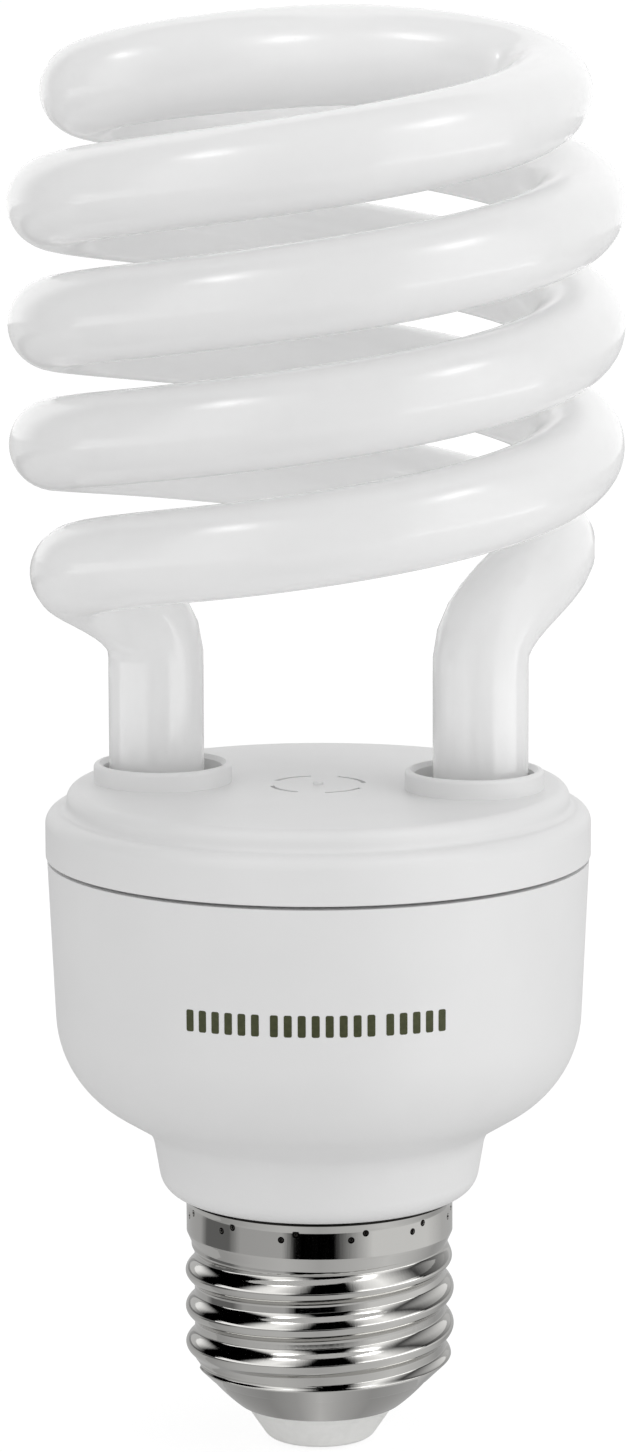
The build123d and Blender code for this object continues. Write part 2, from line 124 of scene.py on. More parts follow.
def join_all(prefix):
    """Join all pieces whose names start alike, and return the one that is left."""
    pieces = [thing for thing in bpy.data.objects if thing.name.startswith(prefix)]
    pick(pieces[0])
    for piece in pieces:
        piece.select_set(True)
    bpy.ops.object.join()
    return pieces[0]


def settle(piece, node):
    """Tie a finished piece to the frame in place of a CAD node."""
    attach(piece, "root")
    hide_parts(node)
    piece.data.calc_loop_triangles()
    print(piece.name, "has", len(piece.data.loop_triangles), "triangles")


# %% [markdown]
# ## The camera
# The photograph looks at the bulb from a little above and slightly from its right, with a long lens.
# The camera is placed by those angles around a point on the bulb's axis. Its tiny roll and sideways shift
# are the ones that lay the CAD outline over the photograph's.

# %% Camera
photo_height = 1452
sensor_size = 36
view_azimuth, view_elevation, view_roll = 8.6, 9.75, -0.2
view_distance = 560 * mm
view_target = Vector((0, 0, 70.85 * mm))
focal_pixels = 5810
sideways_pixels = 0.3


def way_to(azimuth, elevation):
    """The direction from the bulb to a place around it, by two angles in degrees."""
    turn, rise = math.radians(azimuth), math.radians(elevation)
    return Vector(
        (math.sin(turn) * math.cos(rise), -math.cos(turn) * math.cos(rise), math.sin(rise))
    )


back = way_to(view_azimuth, view_elevation)
camera_data = bpy.data.cameras.new("photo_camera")
camera_data.sensor_width = sensor_size
camera_data.lens = sensor_size * focal_pixels / photo_height
camera_data.shift_x = -sideways_pixels / photo_height
camera = bpy.data.objects.new("photo_camera", camera_data)
bpy.context.scene.collection.objects.link(camera)
look = (-back).to_track_quat("-Z", "Y").to_matrix()
camera.matrix_world = (
    Matrix.Translation(view_target + back * view_distance)
    @ look.to_4x4()
    @ Matrix.Rotation(math.radians(view_roll), 4, "Z")
)
bpy.context.scene.camera = camera
print("lens in mm:", round(camera_data.lens, 1))

# %% [markdown]
# ## The spiral tube
# The real tube is one length of glass, softened in a furnace and wound from its middle on a two-groove
# mandrel. Its two strands climb side by side, meet over the top in an S, and drop into two straight legs.
# A circle could be swept with the Screw modifier, but the legs, the narrowing last turn and the bridge
# follow other lines. One Bezier curve can follow them all, so the tube is a single curve with a round
# bevel, made a mesh at the end. Each stretch is written as four Bezier points.

# %% Sizes of the spiral, in millimetres
tube_radius, leg_radius, bridge_radius = 4.4, 4.6, 4.8
spiral_radius = 25.0
spiral_pitch = 23.05
spiral_start = 86.15
full_angle = 540
closing_inset = 3.1
bridge_rise = 3.6
bridge_slant = math.radians(44)
bridge_end_share, bridge_middle_share = 0.5, 0.6
leg_offset = 15.8
leg_bottom = 58.65
leg_top = 77.6
leg_end_rounding = 2.0
bend_lift = 8.5
bend_reach = 25.0
bend_angle = 70
arc_step = 30

print("centre line of the coil:", 2 * spiral_radius, "mm across")


# %% Stretches of the centre line
def turn_stretches(centre_x, radius, pitch, level, first, last):
    """Bezier stretches of a rising turn between two angles, each at most one arc step long."""
    count = math.ceil((last - first) / arc_step)
    step = math.radians((last - first) / count)
    reach = 4 / 3 * math.tan(step / 4)

    def place(number):
        angle = math.radians(first) + number * step
        height = level + pitch * number * step / (2 * math.pi)
        point = Vector((centre_x + radius * math.cos(angle), radius * math.sin(angle), height))
        heading = Vector((-radius * math.sin(angle), radius * math.cos(angle), pitch / (2 * math.pi)))
        return point, heading * reach

    stretches = []
    for number in range(count):
        (start, away), (end, towards) = place(number), place(number + 1)
        stretches.append((start, start + away, end - towards, end))
    return stretches


def coil_point(angle):
    """A point of the full-size turns, and the direction in which they climb there."""
    a = math.radians(angle)
    height = spiral_start + spiral_pitch * angle / 360
    point = Vector((spiral_radius * math.cos(a), spiral_radius * math.sin(a), height))
    slope = spiral_pitch / (2 * math.pi * spiral_radius)
    return point, Vector((-math.sin(a), math.cos(a), slope)).normalized()


leg_foot = Vector((leg_offset, 0, leg_bottom))
leg_head = Vector((leg_offset, 0, leg_top))
bend_end, bend_heading = coil_point(bend_angle)
closing_level = coil_point(full_angle)[0].z
closing_radius = spiral_radius - closing_inset / 2
closing_pitch = spiral_pitch * closing_radius / spiral_radius
bridge_start = Vector((spiral_radius - closing_inset, 0, closing_level + closing_pitch / 2))
bridge_middle = Vector((0, 0, bridge_start.z + bridge_rise))
bridge_way = Vector((math.cos(bridge_slant), math.sin(bridge_slant), 0))

strand = [(leg_foot, leg_foot.lerp(leg_head, 1 / 3), leg_foot.lerp(leg_head, 2 / 3), leg_head)]
bend_aim = bend_end - bend_heading * bend_reach
strand.append((leg_head, leg_head + Vector((0, 0, bend_lift)), bend_aim, bend_end))
strand += turn_stretches(0, spiral_radius, spiral_pitch, bend_end.z, bend_angle, full_angle)
strand += turn_stretches(-closing_inset / 2, closing_radius, closing_pitch, closing_level, 180, 360)
end_aim = bridge_start + coil_point(0)[1] * bridge_start.x * bridge_end_share
middle_aim = bridge_middle + bridge_way * bridge_start.x * bridge_middle_share
strand.append((bridge_start, end_aim, middle_aim, bridge_middle))

# The second strand is the first one turned half round the axis, followed back from bridge to leg.
half_turn = Matrix.Rotation(math.pi, 3, "Z")
other_strand = [[half_turn @ point for point in reversed(stretch)] for stretch in reversed(strand)]
stretches = strand + other_strand
print("centre line:", len(stretches), "stretches, top at", round(bridge_middle.z + bridge_radius, 2), "mm")

# %% Bend the tube
tube = add_primitive(bpy.ops.curve.primitive_bezier_curve_add, "spiral_tube_glass")
tube.data.dimensions = "3D"
spline = tube.data.splines[0]
spline.bezier_points.add(len(stretches) - 1)
for number, knot in enumerate(spline.bezier_points):
    knot.handle_left_type = knot.handle_right_type = "FREE"
    before = stretches[max(number - 1, 0)]
    after = stretches[min(number, len(stretches) - 1)]
    knot.co = (after[0] if number < len(stretches) else before[3]) * mm
    knot.handle_left = (before[2] if number else after[0]) * mm
    knot.handle_right = (after[1] if number < len(stretches) else before[3]) * mm
    knot.radius = 1
for number in (0, 1, len(stretches) - 1, len(stretches)):
    spline.bezier_points[number].radius = leg_radius / tube_radius
spline.bezier_points[len(strand)].radius = bridge_radius / tube_radius
spline.radius_interpolation = "EASE"
tube.data.resolution_u = 14
tube.data.bevel_depth = tube_radius * mm
tube.data.bevel_resolution = 18
tube.data.use_fill_caps = True
bpy.ops.object.convert(target="MESH")

# %% Round the leg ends, which sit hidden in the cover
end_tolerance = 0.1
tidy_mesh(tube)
pick(tube)
for face in tube.data.polygons:
    face.select = face.normal.z < -0.99 and face.center.z < (leg_bottom + end_tolerance) * mm
bpy.ops.object.mode_set(mode="EDIT")
bpy.ops.mesh.select_mode(type="FACE")
bpy.ops.mesh.region_to_loop()
bpy.ops.mesh.bevel(offset=leg_end_rounding * mm, segments=5, profile=0.5)
bpy.ops.mesh.select_mode(type="VERT")
bpy.ops.object.mode_set(mode="OBJECT")
tidy_mesh(tube)
smooth(tube, 40)
settle(tube, "spiral_tube")

# %% [markdown]
# ## Turned outlines
# The housing, the cover, the shell, the insulator and the contact are all round about the axis. A
# cylinder could be bevelled again and again, but their outlines have several radii that meet smoothly.
# It is simpler to draw half of the section as a line and spin it: one point is extruded along the
# outline, and the Spin operator carries that line once round the axis. Rounded corners are worked out
# as short arcs.


# %% Outline and lathe helpers
def rounded(corners, radii, step=4):
    """An outline of (radius, height) points whose inner corners become arcs of the given radii."""
    outline = [Vector(corners[0])]
    for before, corner, after, radius in zip(corners, corners[1:], corners[2:], radii):
        corner = Vector(corner)
        one_way = (Vector(before) - corner).normalized()
        other_way = (Vector(after) - corner).normalized()
        half = one_way.angle(other_way) / 2
        middle = corner + (one_way + other_way).normalized() * radius / math.sin(half)
        spoke = corner + one_way * radius / math.tan(half) - middle
        sweep = math.pi - 2 * half
        if one_way.x * other_way.y - one_way.y * other_way.x > 0:
            sweep = -sweep
        count = max(2, math.ceil(math.degrees(abs(sweep)) / step))
        for number in range(count + 1):
            outline.append(middle + Matrix.Rotation(sweep * number / count, 2) @ spoke)
    outline.append(Vector(corners[-1]))
    return outline


def lathe(name, outline, around=160):
    """Extrude one point along an outline in millimetres and spin the line once round the axis."""
    piece = add_primitive(bpy.ops.mesh.primitive_plane_add, name, size=mm)
    bpy.ops.object.mode_set(mode="EDIT")
    bpy.ops.mesh.merge(type="CENTER")
    bpy.ops.transform.translate(value=(outline[0][0] * mm, 0, outline[0][1] * mm))
    for here, there in zip(outline, outline[1:]):
        move = ((there[0] - here[0]) * mm, 0, (there[1] - here[1]) * mm)
        bpy.ops.mesh.extrude_region_move(TRANSFORM_OT_translate={"value": move})
    bpy.ops.mesh.select_all(action="SELECT")
    bpy.ops.mesh.spin(steps=around, angle=2 * math.pi, center=(0, 0, 0), axis=(0, 0, 1))
    bpy.ops.object.mode_set(mode="OBJECT")
    tidy_mesh(piece)
    return piece


def carve(piece, tool, operation="DIFFERENCE"):
    """Cut a piece with a tool, or add the tool to it, and throw the tool away."""
    apply_modifier(piece, "BOOLEAN", object=tool, operation=operation, solver="EXACT")
    bpy.data.objects.remove(tool)


# %% [markdown]
# ## The lower housing
# This is the white cup that holds the ballast, injection moulded in one wall with a bowl, a neck and a
# spigot that goes into the metal cap. Only its outer outline is drawn. Spinning it gives a skin, and the
# Solidify modifier gives that skin the wall's thickness, as the mould does. Six ribs inside carry the
# circuit board, so one rib is modelled as a bar, copied round and joined on.

# %% Housing wall
rim_level = 24.9
bowl_level = 31.3
cup_level = 36.8
cup_top = 58.05
cup_radius = 26.2
bowl_radius = 25.25
neck_top_radius = 16.3
neck_radius = 15.2
spigot_radius = 11.7
spigot_length = 5.0
bowl_rounding, neck_top_rounding, neck_rounding, spigot_rounding = 11, 3, 2.5, 0.2
housing_wall = 1.6
board_underside = 52.8
rib_height, rib_width, rib_depth, rib_count = 10.0, 1.2, 2.0, 6


def cup_radius_at(level):
    """Outer radius of the cup's slightly tapered wall."""
    return bowl_radius + (cup_radius - bowl_radius) * (level - cup_level) / (cup_top - cup_level)


housing_corners = [
    (cup_radius, cup_top),
    (bowl_radius, cup_level),
    (neck_top_radius, bowl_level),
    (neck_radius, rim_level),
    (spigot_radius, rim_level),
    (spigot_radius, rim_level - spigot_length),
]
housing_radii = [bowl_rounding, neck_top_rounding, neck_rounding, spigot_rounding]
housing = lathe("lower_housing_shell", rounded(housing_corners, housing_radii))
apply_modifier(housing, "SOLIDIFY", thickness=housing_wall * mm, offset=-1, use_even_offset=True)
print("housing wall:", len(housing.data.polygons), "faces")

# %% Ribs that carry the board
rib_outer = cup_radius_at(board_underside - rib_height) - housing_wall / 2
rib_length = rib_depth + housing_wall / 2
for number in range(rib_count):
    rib = add_primitive(bpy.ops.mesh.primitive_cube_add, "rib", size=1)
    rib.data.transform(Matrix.Diagonal((rib_length * mm, rib_width * mm, rib_height * mm, 1)))
    middle = ((rib_outer - rib_length / 2) * mm, 0, (board_underside - rib_height / 2) * mm)
    rib.data.transform(Matrix.Translation(middle))
    rib.data.transform(Matrix.Rotation(2 * math.pi * number / rib_count, 4, "Z"))
    carve(housing, rib, "UNION")
smooth(housing, 30)
settle(housing, "lower_housing")

# %% [markdown]
# ## The top cover
# The lid of the housing is a moulded plate with two soft steps at its edge, a tongue that enters the cup,
# and two raised collars that the glass legs pass through. In its middle are four short arc-shaped vents
# around the small mark where the mould was filled. The plate is spun from its outline, and the collars,
# holes and vents are added and cut with Booleans, which keep their exact places.

# %% Cover plate
cover_bottom = 58.4
cover_step = 63.05
cover_top = 65.15
plate_underside = 63.65
cover_radius = 26.35
plateau_radius = 24.3
board_top = 54.4
plateau_rounding, step_rounding, shoulder_rounding = 1.2, 0.6, 1.4
seam_rounding, tongue_rounding = 0.15, 0.1
tongue_clearance, tongue_wall = 0.15, 1.4
tongue_radius = cup_radius_at(board_top) - housing_wall - tongue_clearance
tongue_bore = tongue_radius - tongue_wall

cover_corners = [
    (0, cover_top),
    (plateau_radius, cover_top),
    (plateau_radius, cover_step),
    (cover_radius, cover_step),
    (cover_radius, cover_bottom),
    (tongue_radius, cover_bottom),
    (tongue_radius, board_top),
    (tongue_bore, board_top),
    (tongue_bore, plate_underside),
    (0, plate_underside),
]
cover_radii = [plateau_rounding, step_rounding, shoulder_rounding, seam_rounding]
cover_radii += [tongue_rounding] * 4
cover = lathe("top_cover_plate", rounded(cover_corners, cover_radii))
print("cover plate:", len(cover.data.polygons), "faces")

# %% Collars
collar_offset = 15.2
collar_radius = 6.7
collar_bore = 5.75
collar_height = 1.85
collar_edge = 0.4
collar_top = cover_top + collar_height
# The collar starts inside the plate, and the bore's cut goes past both its ends.
collar_root = plate_underside + 0.4
root_rounding = 0.05
cut_low, cut_high = plate_underside - 1, collar_top + 1
face_clearance = 0.001
collar_corners = [
    (0, collar_root),
    (collar_radius, collar_root),
    (collar_radius, collar_top),
    (0, collar_top),
]
bore_corners = [
    (0, cut_low),
    (collar_bore, cut_low),
    (collar_bore, collar_top - collar_edge),
    (collar_bore + collar_edge, collar_top + face_clearance),
    (collar_bore + collar_edge, cut_high),
    (0, cut_high),
]
for side in (-1, 1):
    leg_axis = Matrix.Translation((side * collar_offset * mm, 0, 0))
    collar = lathe("collar", rounded(collar_corners, [root_rounding, collar_edge], step=9), around=96)
    collar.data.transform(leg_axis)
    carve(cover, collar, "UNION")
    bore = lathe("bore", bore_corners, around=96)
    bore.data.transform(leg_axis)
    carve(cover, bore)
print("collars bored:", 2 * collar_bore, "mm")

# %% Vents and moulding mark
slot_ring, slot_width, slot_arc, slot_count = 4.5, 0.45, 56, 4
slot_first, slot_cut = 45, 4
mark_radius, mark_root, mark_rise = 0.5, 0.2, 0.3
mark_foot_rounding, mark_rounding = 0.05, 0.2
plate_middle = (plate_underside + cover_top) / 2
for number in range(slot_count):
    vent = add_primitive(bpy.ops.mesh.primitive_plane_add, "vent", size=1)
    vent.data.transform(Matrix.Rotation(math.pi / 2, 4, "X"))
    vent.data.transform(Matrix.Diagonal((slot_width * mm, 1, slot_cut * mm, 1)))
    vent.data.transform(Matrix.Translation((slot_ring * mm, 0, plate_middle * mm)))
    first = math.radians(slot_first + 360 / slot_count * number + slot_arc / 2)
    vent.data.transform(Matrix.Rotation(first, 4, "Z"))
    bpy.ops.object.mode_set(mode="EDIT")
    bpy.ops.mesh.select_all(action="SELECT")
    bpy.ops.mesh.spin(steps=14, angle=math.radians(slot_arc), center=(0, 0, 0), axis=(0, 0, 1))
    bpy.ops.object.mode_set(mode="OBJECT")
    tidy_mesh(vent)
    carve(cover, vent)
mark_low, mark_high = cover_top - mark_root, cover_top + mark_rise
mark_corners = [(0, mark_low), (mark_radius, mark_low), (mark_radius, mark_high), (0, mark_high)]
mark = lathe("mark", rounded(mark_corners, [mark_foot_rounding, mark_rounding], step=15), around=32)
carve(cover, mark, "UNION")
tidy_mesh(cover)
smooth(cover, 30)
apply_modifier(cover, "WEIGHTED_NORMAL", mode="FACE_AREA", weight=80, keep_sharp=True)
settle(cover, "top_cover")

# %% [markdown]
# ## The screw shell
# The metal shell is drawn from thin sheet as a plain cup, and its thread is rolled in afterwards. The same
# order works here. The cup's outline is spun with rings close together, then every point of its outside
# is pushed out along the thread's helix, fading at both ends. The inside stays plain, because nothing is
# seen of it. Small spheres cut the punch marks that lock the shell to the plastic.

# %% Plain cup
mouth_radius, mouth_level = 7.5, 3.35
thread_bottom, skirt_level = 8.45, 19.4
thread_root, thread_crest = 12.25, 13.13
skirt_radius, skirt_shoulder = 13.0, 1.7
rim_lip, rim_flare, rim_flare_height = 0.3, 0.3, 0.6
shell_sheet = 0.4
bulge_radius = 18.0
ring_spacing, wall_spacing, flare_spacing = 0.055, 0.4, 0.15
mouth_rings, inner_rings = 110, 12
# The mouth ends this far up the bulge, where the photograph shows the insulator begin.
mouth_trim = 0.8

chord = Vector((thread_root - mouth_radius, thread_bottom - mouth_level))
chord_middle = Vector((mouth_radius, mouth_level)) + chord / 2
inwards = Vector((-chord.y, chord.x)).normalized()
bulge_centre = chord_middle + inwards * math.sqrt(bulge_radius**2 - (chord.length / 2) ** 2)
mouth_angle = math.atan2(mouth_level - bulge_centre.y, mouth_radius - bulge_centre.x)
mouth_angle += mouth_trim / bulge_radius


def spread(start, end, spacing):
    """Points from one outline point up to the next, close together, without the last one."""
    start, end = Vector(start), Vector(end)
    count = max(1, math.ceil((end - start).length / spacing))
    return [start.lerp(end, number / count) for number in range(count)]


def bulge(radius, count):
    """Points of the bulged cone from the mouth up to the thread, without the last one."""
    high = math.atan2(thread_bottom - bulge_centre.y, thread_root - bulge_centre.x)
    angles = [mouth_angle + (high - mouth_angle) * number / count for number in range(count)]
    return [bulge_centre + radius * Vector((math.cos(angle), math.sin(angle))) for angle in angles]


thread_foot, thread_head = (thread_root, thread_bottom), (thread_root, skirt_level)
skirt_foot = (skirt_radius, skirt_level + skirt_shoulder)
flare_foot = (skirt_radius, rim_level - rim_lip - rim_flare_height)
flare_head = (skirt_radius + rim_flare, rim_level - rim_lip)
rim_edge = (skirt_radius + rim_flare, rim_level)
outside = (
    bulge(bulge_radius, mouth_rings)
    + spread(thread_foot, thread_head, ring_spacing)
    + spread(thread_head, skirt_foot, ring_spacing)
    + spread(skirt_foot, flare_foot, wall_spacing)
    + spread(flare_foot, flare_head, flare_spacing)
    + [flare_head, rim_edge]
)
way_down = (rim_edge, flare_head, flare_foot, skirt_foot, thread_head, thread_foot)
inside = [(radius - shell_sheet, level) for radius, level in way_down]
inside += reversed(bulge(bulge_radius - shell_sheet, inner_rings))
shell = lathe("screw_shell_sheet", outside + inside + outside[:1], around=240)
print("plain cup:", len(outside), "rings outside and", len(inside), "inside")

# %% Roll the thread
thread_pitch, thread_turns, thread_first = 3.629, 3.3, 7.85
ridge_half, ridge_sag = 1.35, 1.03
run_out, run_out_margin = 3.1, 0.1
start_level, start_length = 6.6, 2.4
lead_in_share, extra_turns = 0.55, 0.2
fade_blend, foot_blend = 0.35, 0.45


def soft_max(a, b, blend):
    """The larger of two values, with a rounded change-over."""
    h = max(blend - abs(a - b), 0) / blend
    return max(a, b) + h * h * blend / 4


def ridge_radius(angle, level):
    """Outer radius of the rolled ridge at a place on the shell, or less than the root between turns."""
    share = (angle / (2 * math.pi)) % 1
    turns = round((level - thread_first) / thread_pitch - share) + share
    turns = max(turns, share - 1 if share > lead_in_share else share)
    turns = min(turns, thread_turns + extra_turns)
    off = level - thread_first - thread_pitch * turns
    return thread_crest - ridge_sag * (off / ridge_half) ** 2


def fade_radius(plain, level):
    """The largest radius that the ridge may have at its two ends, where it runs out."""
    sheet_inside = thread_root - shell_sheet
    to_top = (skirt_level + skirt_shoulder - level) / run_out
    from_start = (level - start_level) / start_length
    top_limit = sheet_inside + (thread_crest + run_out_margin - sheet_inside) * to_top
    return min(top_limit, plain + (thread_crest - thread_root) * from_start)


def middle_radius(level):
    """Radius of the sheet's middle, which parts its outside from its inside."""
    if level < thread_bottom:
        arc = bulge_radius - shell_sheet / 2
        return bulge_centre.x + math.sqrt(arc**2 - (level - bulge_centre.y) ** 2)
    rise = max(level - skirt_level, 0) / skirt_shoulder
    return thread_root - shell_sheet / 2 + (skirt_radius - thread_root) * rise


for point in shell.data.vertices:
    level = point.co.z / mm
    plain = math.hypot(point.co.x, point.co.y) / mm
    if start_level < level < skirt_level + skirt_shoulder and plain > middle_radius(level):
        ridge = ridge_radius(math.atan2(point.co.y, point.co.x), level)
        ridge = -soft_max(-ridge, -fade_radius(plain, level), fade_blend)
        pushed = soft_max(plain, ridge, foot_blend)
        point.co.x *= pushed / plain
        point.co.y *= pushed / plain
print("thread rolled:", thread_turns, "turns,", 2 * thread_crest, "mm over the crests")

# %% Punch marks that lock the shell to the plastic
punch_pairs = 12
punch_radius = 0.33
punch_ball = {"segments": 16, "ring_count": 10, "radius": punch_radius * mm}
# Degrees from the middle of the photograph's view, as for the print below.
punch_turn = 16.7
punch_first = math.radians(view_azimuth - 90 + punch_turn)
# The two marks of a pair: degrees off its middle, and level.
punch_marks = ((-3.2, 23.1), (3.2, 23.68))
for number in range(punch_pairs):
    for step, level in punch_marks:
        punch = add_primitive(bpy.ops.mesh.primitive_uv_sphere_add, "punch", **punch_ball)
        punch.data.transform(Matrix.Translation((skirt_radius * mm, 0, level * mm)))
        angle = punch_first + 2 * math.pi * number / punch_pairs + math.radians(step)
        punch.data.transform(Matrix.Rotation(angle, 4, "Z"))
carve(shell, join_all("punch"))
smooth(shell, 35)
settle(shell, "screw_shell")

# %% [markdown]
# ## Insulator and contact
# Under the shell's mouth a white plug of insulating material carries the centre contact, a small disc
# whose rivet goes up to the live wire. Both are turned outlines, as before.

# %% Insulator
insulator_bottom = 0.2
tip_radius, tip_rounding = 5.1, 1.2
seat_top, seat_steps = 6.35, 8
fit_clearance = 0.1
seat_arc_radius = bulge_radius - shell_sheet - fit_clearance
contact_radius, contact_thickness, contact_edge = 3.4, 0.6, 0.2
rivet_radius, rivet_top = 1.1, 6.45
contact_bore, rivet_bore = contact_radius + fit_clearance, rivet_radius + fit_clearance
seat_low = bulge_centre + seat_arc_radius * Vector((math.cos(mouth_angle), math.sin(mouth_angle)))
seat_high_angle = math.asin((seat_top - bulge_centre.y) / seat_arc_radius)
seat_arc = []
for number in range(1, seat_steps + 1):
    angle = mouth_angle + (seat_high_angle - mouth_angle) * number / seat_steps
    seat_arc.append(bulge_centre + seat_arc_radius * Vector((math.cos(angle), math.sin(angle))))
tip_corners = [(contact_bore, insulator_bottom), (tip_radius, insulator_bottom), seat_low]
insulator_outline = (
    [(rivet_bore, contact_thickness), (contact_bore, contact_thickness)]
    + rounded(tip_corners, [tip_rounding])
    + seat_arc
    + [(rivet_bore, seat_top), (rivet_bore, contact_thickness)]
)
insulator = lathe("cap_insulator_plug", insulator_outline, around=128)
smooth(insulator, 35)
settle(insulator, "cap_insulator")

# %% Centre contact
contact_outline = [
    (0, 0),
    (contact_radius - contact_edge, 0),
    (contact_radius, contact_edge),
    (contact_radius, contact_thickness),
    (rivet_radius, contact_thickness),
    (rivet_radius, rivet_top),
    (0, rivet_top),
]
contact = lathe("centre_contact_disc", contact_outline, around=96)
smooth(contact, 30)
settle(contact, "centre_contact")

# %% [markdown]
# ## Printed marks
# The front of the housing carries a row of dark olive print. Here it is a row of plain bars in three
# groups, pad printed: each bar starts as a flat plate with rounded corners, gets a hair's thickness by
# extrusion and is laid on the tapered wall at its own angle.

# %% Print
print_low, print_high = 45.9, 48.0
bar_width, bar_pitch, bar_rounding, group_gap = 0.75, 1.3, 0.18, 0.5
print_groups = (6, 8, 5)
print_turn = -0.65
print_middle = math.radians(view_azimuth - 90 + print_turn)
ink_proud, ink_sunk = 0.015, 0.1

bar_places = []
reach = 0.0
for count in print_groups:
    for number in range(count):
        bar_places.append(reach)
        reach += bar_pitch
    reach += group_gap
row_middle = (bar_places[0] + bar_places[-1]) / 2

for place in bar_places:
    bar = add_primitive(bpy.ops.mesh.primitive_plane_add, "bar", size=1)
    bar.data.transform(Matrix.Diagonal((bar_width, print_high - print_low, 1, 1)))
    bpy.ops.object.mode_set(mode="EDIT")
    bpy.ops.mesh.select_all(action="SELECT")
    bpy.ops.mesh.bevel(affect="VERTICES", offset=bar_rounding, segments=4)
    bpy.ops.mesh.select_all(action="SELECT")
    bpy.ops.mesh.extrude_region_move(TRANSFORM_OT_translate={"value": (0, 0, 1)})
    bpy.ops.object.mode_set(mode="OBJECT")
    for point in bar.data.vertices:
        along, up, out = point.co
        level = (print_low + print_high) / 2 + up
        radius = cup_radius_at(level) + (ink_proud if out > 0.5 else -ink_sunk)
        angle = print_middle + (place - row_middle + along) / cup_radius_at(level)
        point.co = Vector((radius * math.cos(angle), radius * math.sin(angle), level)) * mm
ink = join_all("bar")
ink.name = "housing_print"
tidy_mesh(ink)
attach(ink, "root")
print("print:", len(bar_places), "bars")

# %% [markdown]
# ## Finishes
# Every finish is a node material on Object coordinates. Colours are written as sRGB hex values, the way a
# paint or plastic is picked on a screen, and one function turns them into Blender's linear colour. One
# small function adds a node with its settings and links, so that each finish below reads as a list.


# %% Material helpers
def srgb(code):
    """A hex colour as linear RGBA."""
    values = [int(code[i : i + 2], 16) / 255 for i in (1, 3, 5)]
    return [v / 12.92 if v <= 0.04045 else ((v + 0.055) / 1.055) ** 2.4 for v in values] + [1]


def add_node(material, kind, inputs=None, **settings):
    """Add a node; an input is given a value, or a (node, output) pair to link from."""
    node = material.node_tree.nodes.new(kind)
    for key, value in settings.items():
        setattr(node, key, value)
    for key, value in (inputs or {}).items():
        if isinstance(value, tuple):
            material.node_tree.links.new(value[0].outputs[value[1]], node.inputs[key])
        else:
            node.inputs[key].default_value = value
    return node


def new_finish(name):
    """An empty node material."""
    material = bpy.data.materials.new(name)
    material.use_nodes = True
    material.node_tree.nodes.clear()
    return material


def set_stops(ramp, stops):
    """Give a colour ramp its (position, colour) stops."""
    elements = ramp.color_ramp.elements
    while len(elements) < len(stops):
        elements.new(1.0)
    for element, (position, colour) in zip(elements, stops):
        element.position, element.color = position, colour


def wear(piece, material):
    """Give a piece one finish all over."""
    piece.data.materials.clear()
    piece.data.materials.append(material)
    print(piece.name, "wears", material.name)


# %% [markdown]
# ### Phosphor-coated glass
# The tube is clear drawn glass with a white phosphor powder washed down its inside. The eye sees chalky
# white under a sharp, thin gloss, and hardly any shade: the powder lets light into the tube, which comes
# out again on its dark side. Glass and powder could be two walls, one inside the other, but one skin is
# enough: a white base that scatters light through the tube, and a smooth clear coat for the glass. The
# powder dries in faint clouds about 9 mm wide.

# %% Phosphor-coated glass
glass = new_finish("phosphor_coated_drawn_glass")
place = add_node(glass, "ShaderNodeTexCoord")
cloud = add_node(
    glass,
    "ShaderNodeTexNoise",
    {"Vector": (place, "Object"), "Scale": 1 / (9 * mm), "Detail": 3.0, "Roughness": 0.55},
)
powder = add_node(glass, "ShaderNodeValToRGB", {"Fac": (cloud, "Fac")})
set_stops(powder, [(0.3, srgb("#F8F8F8")), (0.7, srgb("#FCFCFC"))])
# Chalk white with a clear, narrow gloss on top: soft boxes show as bright patches.
skin = add_node(
    glass,
    "ShaderNodeBsdfPrincipled",
    {
        "Base Color": (powder, "Color"),
        "Roughness": 0.6,
        "IOR": 1.5,
        "Specular IOR Level": 0.0,
        "Subsurface Weight": 1.0,
        "Subsurface Radius": [1.0, 1.0, 1.0],
        "Subsurface Scale": 30 * mm,
        "Coat Weight": 1.0,
        "Coat Roughness": 0.12,
        "Coat IOR": 1.5,
    },
)
add_node(glass, "ShaderNodeOutputMaterial", {"Surface": (skin, "BSDF")})
wear(tube, glass)

# %% [markdown]
# ### Moulded housing plastic
# Housing and cover are injection moulded in white flame-safe plastic, from a tool that was finely spark
# eroded. The skin is satin with a grain that is hardly seen. A noise of half a millimetre gives that grain
# as bump, and a second, wide one the slight unevenness of the white.

# %% Moulded housing plastic
plastic = new_finish("moulded_white_pbt_plastic")
place = add_node(plastic, "ShaderNodeTexCoord")
grain = add_node(
    plastic, "ShaderNodeTexNoise", {"Vector": (place, "Object"), "Scale": 1 / (0.5 * mm), "Detail": 2.0}
)
relief = add_node(
    plastic, "ShaderNodeBump", {"Height": (grain, "Fac"), "Strength": 0.06, "Distance": 0.1 * mm}
)
cloud = add_node(
    plastic, "ShaderNodeTexNoise", {"Vector": (place, "Object"), "Scale": 1 / (14 * mm), "Detail": 3.0}
)
tint = add_node(plastic, "ShaderNodeValToRGB", {"Fac": (cloud, "Fac")})
set_stops(tint, [(0.3, srgb("#E6E6E6")), (0.7, srgb("#EAEAEA"))])
# Even, slightly grey white with a broad soft sheen and no clear reflections.
skin = add_node(
    plastic,
    "ShaderNodeBsdfPrincipled",
    {"Base Color": (tint, "Color"), "Roughness": 0.45, "IOR": 1.5, "Normal": (relief, "Normal")},
)
add_node(plastic, "ShaderNodeOutputMaterial", {"Surface": (skin, "BSDF")})
wear(housing, plastic)
wear(cover, plastic)
